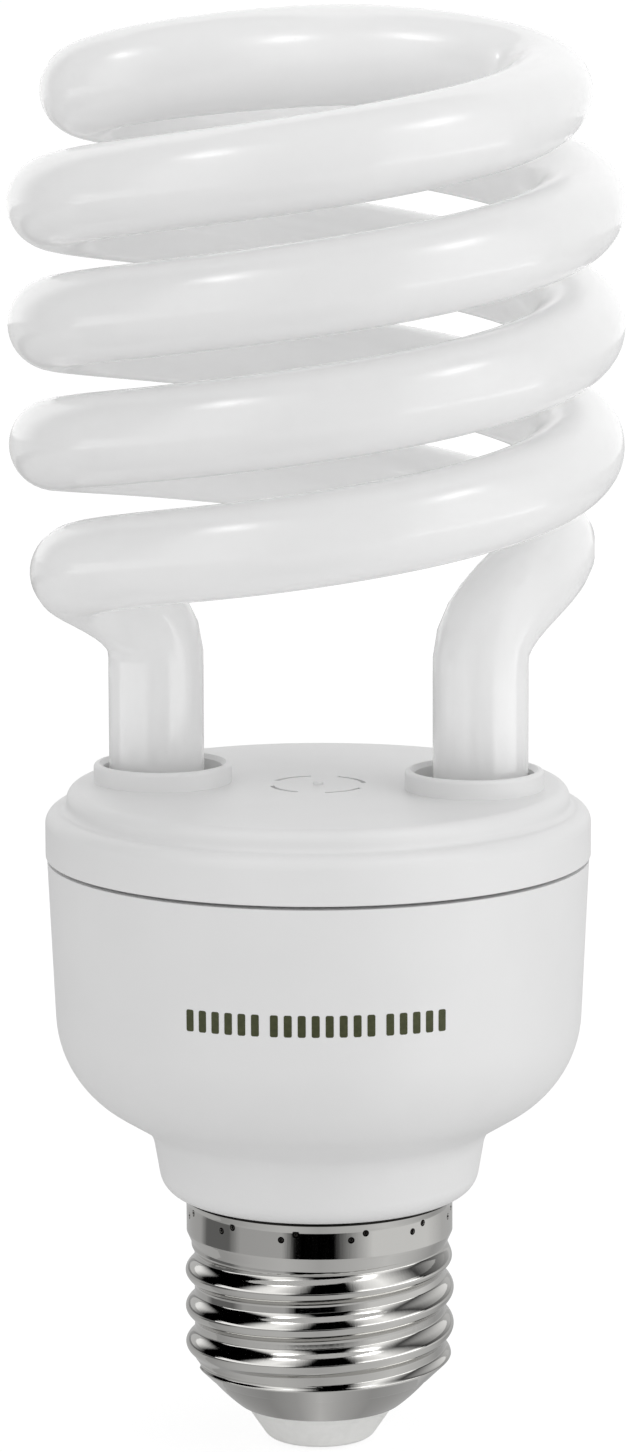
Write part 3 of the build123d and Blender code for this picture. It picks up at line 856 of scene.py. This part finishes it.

# %% [markdown]
# ### Nickel-plated sheet
# The shell is thin sheet, deep drawn into a cup, bright nickel plated and then rolled. It mirrors the room
# in dark and light bands, broken by fine draw marks that run up the wall. The marks are a noise that is
# stretched along the axis. They are drawn about 0.3 mm apart, coarser than the real ones, so that the
# render shows them. The punch marks get painted shade: there the radius is less than the skirt's, so the
# distance from the axis picks a dark colour. A thin painted shadow line at the rim lip stands for the
# shadow in the gap under the housing, and the height picks it.

# %% Nickel-plated sheet
pit_depth, pit_edge, pit_band = 0.2, 0.03, 2.5
nickel = new_finish("nickel_plated_drawn_sheet")
place = add_node(nickel, "ShaderNodeTexCoord")
stretched = add_node(nickel, "ShaderNodeMapping", {"Vector": (place, "Object"), "Scale": [1, 1, 0.05]})
draw_marks = add_node(
    nickel, "ShaderNodeTexNoise", {"Vector": (stretched, "Vector"), "Scale": 1 / (0.3 * mm), "Detail": 3.0}
)
gloss = add_node(
    nickel,
    "ShaderNodeMapRange",
    {"Value": (draw_marks, "Fac"), "From Min": 0.3, "From Max": 0.7, "To Min": 0.03, "To Max": 0.09},
)
relief = add_node(
    nickel, "ShaderNodeBump", {"Height": (draw_marks, "Fac"), "Strength": 0.06, "Distance": 0.05 * mm}
)
across = add_node(
    nickel, "ShaderNodeVectorMath", {0: (place, "Object"), 1: [1, 1, 0]}, operation="MULTIPLY"
)
radius = add_node(nickel, "ShaderNodeVectorMath", {0: (across, "Vector")}, operation="LENGTH")
# Painted shade in the punch marks: this mask is 0 where the radius is less than the skirt's, 1 elsewhere.
pit_shade = add_node(
    nickel,
    "ShaderNodeMapRange",
    {
        "Value": (radius, "Value"),
        "From Min": (skirt_radius - pit_depth) * mm,
        "From Max": (skirt_radius - pit_edge) * mm,
    },
)
height = add_node(nickel, "ShaderNodeSeparateXYZ", {0: (place, "Object")})
below = add_node(
    nickel, "ShaderNodeMath", {0: (height, "Z"), 1: (rim_level - pit_band) * mm}, operation="LESS_THAN"
)
# The painted shade of the punch marks is kept near the rim only, so the thread's grooves stay bright.
pit_shade_near_rim = add_node(
    nickel, "ShaderNodeMath", {0: (pit_shade, "Result"), 1: (below, "Value")}, operation="MAXIMUM"
)
# Painted shadow: a band as high as the rim lip is dark, for the shadow in the gap under the housing.
lip_shadow = add_node(
    nickel, "ShaderNodeMath", {0: (height, "Z"), 1: (rim_level - rim_lip) * mm}, operation="LESS_THAN"
)
# Painted shade and shadow together: 0 in the pits near the rim and on the lip.
sheet = add_node(nickel, "ShaderNodeMath", {0: (pit_shade_near_rim, "Value"), 1: (lip_shadow, "Value")}, operation="MULTIPLY")
# The dark stop is the painted shade of the pits and the painted shadow at the lip.
tint = add_node(nickel, "ShaderNodeValToRGB", {"Fac": (sheet, "Value")})
set_stops(tint, [(0.0, srgb("#2B2A28")), (1.0, srgb("#D2D1CE"))])
# A slightly warm grey mirror whose edges are softened by the marks, with painted shade in the pits and a
# painted shadow line at the lip.
skin = add_node(
    nickel,
    "ShaderNodeBsdfPrincipled",
    {
        "Base Color": (tint, "Color"),
        "Metallic": 1.0,
        "Roughness": (gloss, "Result"),
        "Normal": (relief, "Normal"),
    },
)
add_node(nickel, "ShaderNodeOutputMaterial", {"Surface": (skin, "BSDF")})
wear(shell, nickel)

# %% [markdown]
# ### Tinned contact
# The contact is a stamped brass disc, dipped in tin, so it looks grey. Tin runs into small pools as it
# cools, so a noise of 1.5 mm moves the gloss and not the colour.

# %% Tinned contact
tin = new_finish("tin_dipped_brass")
place = add_node(tin, "ShaderNodeTexCoord")
pool = add_node(
    tin, "ShaderNodeTexNoise", {"Vector": (place, "Object"), "Scale": 1 / (1.5 * mm), "Detail": 2.0}
)
gloss = add_node(
    tin,
    "ShaderNodeMapRange",
    {"Value": (pool, "Fac"), "From Min": 0.3, "From Max": 0.7, "To Min": 0.2, "To Max": 0.4},
)
# Grey metal, brighter and duller in small pools where the tin ran.
skin = add_node(
    tin,
    "ShaderNodeBsdfPrincipled",
    {"Base Color": srgb("#C9C6BD"), "Metallic": 1.0, "Roughness": (gloss, "Result")},
)
add_node(tin, "ShaderNodeOutputMaterial", {"Surface": (skin, "BSDF")})
wear(contact, tin)

# %% [markdown]
# ### Insulator and print
# The plug under the shell is pressed from a white thermoset, closer grained than the housing. The print is
# one thin coat of olive ink from a soft pad, slightly uneven. Each could have a list of nodes of its own,
# but both are one colour, hardly mottled, and so are the parts inside. So one helper makes such a finish
# from two colours, a grain in millimetres and what else the shader needs.


# %% Mottled finishes
def mottled(name, dark, light, grain, surface, detail=3.0, contrast=0.4, relief=0.0):
    """Two colours mixed by a noise, which also gives a fine relief where one is asked for."""
    finish = new_finish(name)
    place = add_node(finish, "ShaderNodeTexCoord")
    mottle = add_node(
        finish,
        "ShaderNodeTexNoise",
        {"Vector": (place, "Object"), "Scale": 1 / (grain * mm), "Detail": detail},
    )
    tint = add_node(finish, "ShaderNodeValToRGB", {"Fac": (mottle, "Fac")})
    set_stops(tint, [(0.5 - contrast / 2, srgb(dark)), (0.5 + contrast / 2, srgb(light))])
    inputs = {"Base Color": (tint, "Color"), **surface}
    if relief:
        heights = {"Height": (mottle, "Fac"), "Strength": relief, "Distance": 0.05 * mm}
        inputs["Normal"] = (add_node(finish, "ShaderNodeBump", heights), "Normal")
    skin = add_node(finish, "ShaderNodeBsdfPrincipled", inputs)
    add_node(finish, "ShaderNodeOutputMaterial", {"Surface": (skin, "BSDF")})
    return finish


# Dense white with a low, even gloss.
gloss = {"Roughness": 0.4, "IOR": 1.55}
thermoset = mottled("pressed_white_thermoset", "#F4F4F2", "#F8F8F6", 0.7, gloss, detail=4.0, contrast=0.3)
wear(insulator, thermoset)
# Dark olive, matte like the plastic under it.
gloss = {"Roughness": 0.55}
wear(ink, mottled("olive_pad_printing_ink", "#393E1C", "#454927", 0.4, gloss, detail=2.0))

# %% [markdown]
# ### Parts inside the housing
# The circuit board and its parts are closed in and keep their CAD meshes. Each still gets the finish that
# it has on the bench: two close colours, a grain of its own with a faint relief, a roughness, and whether
# it is metal.


# %% Finishes of the inner parts
def dress_inside(name, dark, light, grain, roughness, metallic, nodes):
    """A mottled finish with a faint relief on CAD nodes."""
    surface = {"Roughness": roughness, "Metallic": metallic}
    finish = mottled(name, dark, light, grain, surface, relief=0.15)
    for node in nodes:
        wear(frame["nodes"][node], finish)


# White cement, chalky and dull.
dress_inside("poured_white_cement", "#F0EFEC", "#F7F6F3", 0.8, 0.85, 0, ["tube_cement"])
# Paper laminate, honey brown with a satin resin skin.
dress_inside("phenolic_paper_laminate", "#A87F42", "#BE9553", 1.2, 0.5, 0, ["ballast_board"])
# Tinned wire, bright grey.
dress_inside("tinned_copper_wire", "#BDBDBA", "#CFCFCC", 0.6, 0.3, 1, ["wrap_pins", "tube_leads"])
# Shrunk sleeve of the big capacitor, glossy dark blue.
dress_inside("shrunk_vinyl_sleeve", "#191C38", "#222647", 3.0, 0.3, 0, ["electrolytic_capacitor"])
# Pressed and fired ferrite, nearly black and dull.
dress_inside("sintered_ferrite", "#2A2A2D", "#3A3A3D", 0.4, 0.6, 0, ["choke_core", "drive_toroid"])
# Bobbin of black nylon, satin.
dress_inside("moulded_black_nylon", "#232325", "#2E2E31", 0.7, 0.45, 0, ["choke_bobbin"])
# Enamelled copper, red-brown and shiny.
wound_parts = ["choke_winding", "toroid_windings"]
dress_inside("enamelled_copper_wire", "#9A4B22", "#B8642F", 0.5, 0.3, 1, wound_parts)
# Moulded epoxy of the chips, matte black.
chip_parts = ["transistors", "rectifier_diodes"]
dress_inside("moulded_black_epoxy", "#161617", "#222224", 0.5, 0.6, 0, chip_parts)
# Dipped epoxy of the film capacitors, glossy brown.
film_parts = ["resonant_capacitor", "filter_capacitor"]
dress_inside("dipped_brown_epoxy", "#7E2F16", "#964020", 2.0, 0.25, 0, film_parts)
# Lacquered ceramic of the resistors, pale beige.
dress_inside("lacquered_ceramic", "#C2A578", "#D3B88D", 0.6, 0.4, 0, ["resistors", "fusible_resistor"])
# Soft sleeve of the cap's wires, dull white.
dress_inside("extruded_wire_sleeve", "#CFCFCB", "#DCDCD8", 1.0, 0.65, 0, ["live_lead", "neutral_lead"])

# %% [markdown]
# ## Floor, light and view
# The bulb stands on pale paper over a weak light table, so that its underside is not dark. To the camera
# the paper is white and keeps the bulb's shadow. The light is that of a small product studio: a large soft
# box on the right, a weaker one on the left and an even dome. It could also be one big lamp, but then the
# inside of the spiral would be black.


# %% Floor
floor_size = 16
floor_level = -0.02 * mm


def looked_at(material):
    """A node that gives 1 where a surface is seen, mirrored or seen through, and 0 where it lights."""
    rays = add_node(material, "ShaderNodeLightPath")
    plain = {0: (rays, "Is Camera Ray"), 1: (rays, "Is Glossy Ray")}
    seen = add_node(material, "ShaderNodeMath", plain, operation="MAXIMUM")
    through = {0: (seen, "Value"), 1: (rays, "Is Transmission Ray")}
    return add_node(material, "ShaderNodeMath", through, operation="MAXIMUM")


floor = add_primitive(
    bpy.ops.mesh.primitive_plane_add, "studio_floor", location=(0, 0, floor_level), size=floor_size
)
paper = new_finish("white_paper_floor")
seen = looked_at(paper)
matte = add_node(paper, "ShaderNodeBsdfDiffuse", {"Color": srgb("#E6E6E6")})
backlight = add_node(paper, "ShaderNodeEmission", {"Color": [1, 1, 1, 1], "Strength": 0.08})
matte = add_node(paper, "ShaderNodeAddShader", {0: (matte, "BSDF"), 1: (backlight, "Emission")})
shade = add_node(paper, "ShaderNodeBsdfDiffuse", {"Color": srgb("#808080")})
glow = add_node(paper, "ShaderNodeEmission", {"Color": [1, 1, 1, 1], "Strength": 0.86})
lit = add_node(paper, "ShaderNodeAddShader", {0: (shade, "BSDF"), 1: (glow, "Emission")})
both = add_node(
    paper, "ShaderNodeMixShader", {0: (seen, "Value"), 1: (matte, "Shader"), 2: (lit, "Shader")}
)
add_node(paper, "ShaderNodeOutputMaterial", {"Surface": (both, "Shader")})
wear(floor, paper)


# %% Soft boxes
# Angles in degrees, lengths in metres.
box_elevation, box_distance = 25, 0.9
box_width, box_height = 0.6, 0.8
box_aim = Vector((0, 0, 70 * mm))


def face_bulb(thing, aim, azimuth, elevation, distance):
    """Place a lamp beside the camera's side and turn it to a point on the bulb's axis."""
    way = way_to(view_azimuth + azimuth, elevation)
    thing.location = aim + way * distance
    thing.rotation_mode = "QUATERNION"
    thing.rotation_quaternion = (-way).to_track_quat("-Z", "Y")


def soft_box(name, azimuth, radiance):
    """A rectangular lamp that lights the bulb and isn't mirrored in it."""
    lamp_data = bpy.data.lights.new(name, "AREA")
    lamp_data.shape = "RECTANGLE"
    lamp_data.size, lamp_data.size_y = box_width, box_height
    lamp_data.energy = radiance * math.pi * box_width * box_height
    lamp = bpy.data.objects.new(name, lamp_data)
    bpy.context.scene.collection.objects.link(lamp)
    face_bulb(lamp, box_aim, azimuth, box_elevation, box_distance)
    lamp.visible_glossy = False
    print(name, "gives", round(lamp_data.energy, 2), "W")


soft_box("right_box", azimuth=62, radiance=1.3)
soft_box("left_box", azimuth=-55, radiance=0.35)

# %% [markdown]
# ### What the gloss mirrors
# A mirror looks like what stands around it. Product photographers hang white cloth and black cards round a
# bright metal part, so that it shows bands and not only white. Here three rings of cloth stand around the
# bulb, round cards lie on the floor and one hangs overhead. Only reflections see them: they light nothing
# and throw no shadow. Their brightness runs around the bulb in soft steps, so each is drawn with a radial
# gradient and a colour ramp instead of many small cards.


# %% Helpers for cloth and cards
def glow_around(name, stops):
    """A glow by the angle from the camera's side, in degrees, positive to the right."""
    cloth = new_finish(name)
    place = add_node(cloth, "ShaderNodeTexCoord")
    around = add_node(cloth, "ShaderNodeTexGradient", {"Vector": (place, "Object")}, gradient_type="RADIAL")
    ramp = add_node(cloth, "ShaderNodeValToRGB", {"Fac": (around, "Fac")})
    placed = sorted((((view_azimuth + angle) / 360 + 0.25) % 1, grey) for angle, grey in stops)
    set_stops(ramp, [(share, [grey, grey, grey, 1]) for share, grey in placed])
    glow = add_node(cloth, "ShaderNodeEmission", {"Color": (ramp, "Color"), "Strength": 1.0})
    add_node(cloth, "ShaderNodeOutputMaterial", {"Surface": (glow, "Emission")})
    return cloth


def only_mirrored(thing):
    """Let only reflections see a stage piece."""
    for ray in ("camera", "diffuse", "transmission", "volume_scatter", "shadow"):
        setattr(thing, "visible_" + ray, False)


def hang(thing, level, stops):
    """Lift a piece of cloth or card to its level and give it its glow."""
    thing.data.transform(Matrix.Translation((0, 0, level)))
    wear(thing, glow_around(thing.name, stops))
    only_mirrored(thing)


# %% Rings of cloth
ring_radius = 300 * mm
ring_levels = (0, 30 * mm, 80 * mm, 600 * mm)


def cloth_ring(name, low, high, stops):
    """A ring of cloth around the bulb, between two levels."""
    shape = {"vertices": 96, "radius": ring_radius, "depth": high - low, "end_fill_type": "NOTHING"}
    ring = add_primitive(bpy.ops.mesh.primitive_cylinder_add, name, **shape)
    hang(ring, (low + high) / 2, stops)


# The lowest ring draws the upright bands on the glass legs.
leg_stops = [(-175, 0.5), (-112, 0.0), (-100, 0.0), (-92, 1.4), (-30, 1.4), (-18, 0.0)]
leg_stops += [(28, 0.0), (36, 2.6), (88, 2.6), (98, 0.0), (150, 0.5)]
cloth_ring("leg_cloth_ring", ring_levels[0], ring_levels[1], leg_stops)
# The two upper rings draw the black and white bands in the thread's grooves.
low_stops = [(-175, 0.6), (-140, 0.6), (-118, 0.0), (-98, 0.0), (-90, 1.2), (-28, 1.2), (-14, 0.0)]
low_stops += [(26, 0.0), (36, 1.2), (84, 1.2), (94, 0.03), (118, 0.2), (150, 0.6)]
cloth_ring("low_cloth_ring", ring_levels[1], ring_levels[2], low_stops)
high_stops = [(-175, 1.1), (-140, 1.1), (-122, 0.0), (-75, 0.0), (-56, 1.1), (-42, 1.3)]
high_stops += [(-25, 0.7), (-9, 0.0), (24, 0.0), (39, 0.9), (56, 1.3), (73, 0.7)]
high_stops += [(93, 0.06), (118, 0.5), (150, 1.1)]
cloth_ring("high_cloth_ring", ring_levels[2], ring_levels[3], high_stops)


# %% Round cards
def round_card(name, radius, level, stops):
    """A round card that lies flat at a level."""
    shape = {"vertices": 96, "radius": radius, "fill_type": "NGON"}
    hang(add_primitive(bpy.ops.mesh.primitive_circle_add, name, **shape), level, stops)


# The overhead card is dark grey and darkens the steep sides of the thread.
round_card("overhead_card", ring_radius, ring_levels[3], [(-90, 0.2), (90, 0.2)])
# The skirt mirrors the two wide cards, its shoulder and the thread's undersides the near one, and the cone
# the smallest. They lie a hair above the floor, the smaller the higher.
wide_level, middle_level, near_level, under_level = -0.015 * mm, -0.012 * mm, -0.01 * mm, -0.005 * mm
half_way_radius, near_radius, under_radius = 147 * mm, 56 * mm, 13 * mm
wide_stops = [(-175, 0.55), (-150, 0.5), (-115, 0.28), (-97, 0.02), (-86, 0.02)]
wide_stops += [(-70, 0.38), (-54, 0.5), (-10, 0.44), (8, 0.38), (22, 0.52)]
wide_stops += [(38, 0.8), (72, 0.8), (92, 0.68), (117, 0.47), (150, 0.6)]
round_card("wide_floor_card", ring_radius, wide_level, wide_stops)
middle_stops = [(-175, 0.5), (-118, 0.45), (-108, 0.15), (-80, 0.15), (-68, 0.45), (-30, 0.48), (-20, 0.0)]
middle_stops += [(12, 0.0), (32, 0.5), (44, 0.8), (100, 0.8), (125, 0.55), (150, 0.5)]
round_card("middle_floor_card", half_way_radius, middle_level, middle_stops)
near_stops = [(-175, 0.5), (-90, 0.4), (-60, 0.55), (-30, 0.62), (0, 0.5), (30, 0.6), (60, 0.74)]
near_stops += [(90, 0.6), (120, 0.4)]
round_card("near_floor_card", near_radius, near_level, near_stops)
under_stops = [(-175, 0.42), (-90, 0.4), (-45, 0.32), (-20, 0.42), (0, 0.62), (20, 0.48), (45, 0.36)]
under_stops += [(90, 0.44)]
round_card("under_floor_card", under_radius, under_level, under_stops)

# %% [markdown]
# ### Lamp fronts
# The short bright streaks on every turn of the glass are the fronts of two small lamps, high on the left
# and on the right. A lit plane would give them hard ends, so each front is brightest at its middle and
# fades to nothing, with a spherical gradient.


# %% Lamp fronts
# Angles in degrees, lengths in metres.
front_elevation, front_distance = 46, 0.28
front_width, front_height = 0.16, 0.12
front_aim = Vector((0, 0, 110 * mm))
front_radiance = 8.0


def lamp_front(name, azimuth):
    """The lit front of a lamp that faces the spiral's middle."""
    face = add_primitive(bpy.ops.mesh.primitive_plane_add, name, size=2)
    face_bulb(face, front_aim, azimuth, front_elevation, front_distance)
    face.scale = (front_width / 2, front_height / 2, 1)
    front = new_finish(name)
    place = add_node(front, "ShaderNodeTexCoord")
    fall = add_node(
        front, "ShaderNodeTexGradient", {"Vector": (place, "Object")}, gradient_type="QUADRATIC_SPHERE"
    )
    shine = add_node(
        front, "ShaderNodeMapRange", {"Value": (fall, "Fac"), "To Min": 0.0, "To Max": front_radiance}
    )
    glow = add_node(front, "ShaderNodeEmission", {"Color": [1, 1, 1, 1], "Strength": (shine, "Result")})
    clear = add_node(front, "ShaderNodeBsdfTransparent")
    both = add_node(front, "ShaderNodeAddShader", {0: (glow, "Emission"), 1: (clear, "BSDF")})
    add_node(front, "ShaderNodeOutputMaterial", {"Surface": (both, "Shader")})
    wear(face, front)
    only_mirrored(face)


lamp_front("left_lamp_front", azimuth=-51)
lamp_front("right_lamp_front", azimuth=56)

# %% [markdown]
# ### Dome
# The room's own light comes evenly from all sides. To the camera the room is white.

# %% Dome
world = bpy.data.worlds.new("studio_dome")
bpy.context.scene.world = world
world.use_nodes = True
world.node_tree.nodes.clear()
seen = looked_at(world)
strength = add_node(
    world, "ShaderNodeMapRange", {"Value": (seen, "Value"), "To Min": 0.76, "To Max": 1.0}
)
dome = add_node(world, "ShaderNodeBackground", {"Color": [1, 1, 1, 1], "Strength": (strength, "Result")})
add_node(world, "ShaderNodeOutputWorld", {"Surface": (dome, "Background")})
bpy.context.scene.view_settings.view_transform = "Standard"
